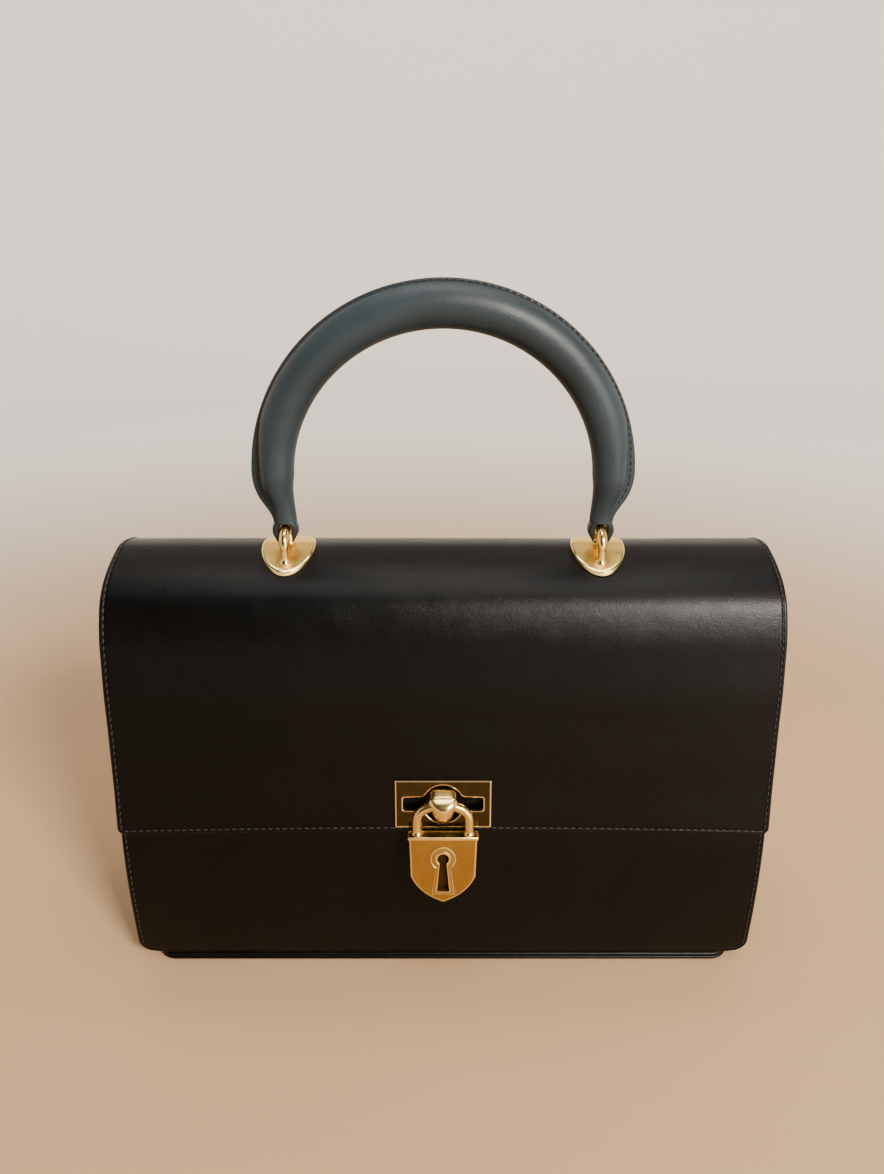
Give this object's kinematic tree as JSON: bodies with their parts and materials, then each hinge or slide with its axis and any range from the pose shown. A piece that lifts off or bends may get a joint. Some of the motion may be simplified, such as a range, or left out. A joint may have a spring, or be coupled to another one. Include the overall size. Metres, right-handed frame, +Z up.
{
  "type": "structured flap handbag with one top handle",
  "caption": "Structured leather flap handbag: rounded flap over a boxy body, stiff arched top handle on half rings, slotted lock plate with knob and hanging padlock.",
  "frame": {"origin": "on the flat underside of the base, at the middle of the bag's width and below the ridge of the flap", "axes": "+Z up, -Y out of the front, +X to the right of a person who looks at the front"},
  "size_m": [0.29, 0.1109, 0.3079],
  "materials": {
    "black_leather": "smooth fine-grained calf, satin",
    "slate_leather": "smooth padded calf, satin",
    "brass": "satin antique gold with polished edges"
  },
  "bodies": {
    "bag": {"back_flap": "black_leather", "front_panel": "black_leather", "gusset_strip": "black_leather", "base_panel": "black_leather", "ring_plate_left": "brass", "ring_plate_right": "brass", "lock_plate": "brass", "turn_knob": "brass", "knob_post": "brass"},
    "handle": {"handle_grip": "slate_leather", "handle_tab_left": "slate_leather", "handle_tab_right": "slate_leather"},
    "padlock": {"padlock_body": "brass", "padlock_shackle": "brass"}
  },
  "joints": [
    {"name": "handle_tilt", "type": "hinge", "parent": "bag", "child": "handle", "pos_m": [0, -0.0105, 0.1981], "axis": [1, 0, 0], "range_deg": [-65, 85]},
    {"name": "padlock_swing", "type": "hinge", "parent": "bag", "child": "padlock", "pos_m": [0, -0.05417, 0.09209], "axis": [-1, 0, 0], "range_deg": [0, 80]}
  ]
}
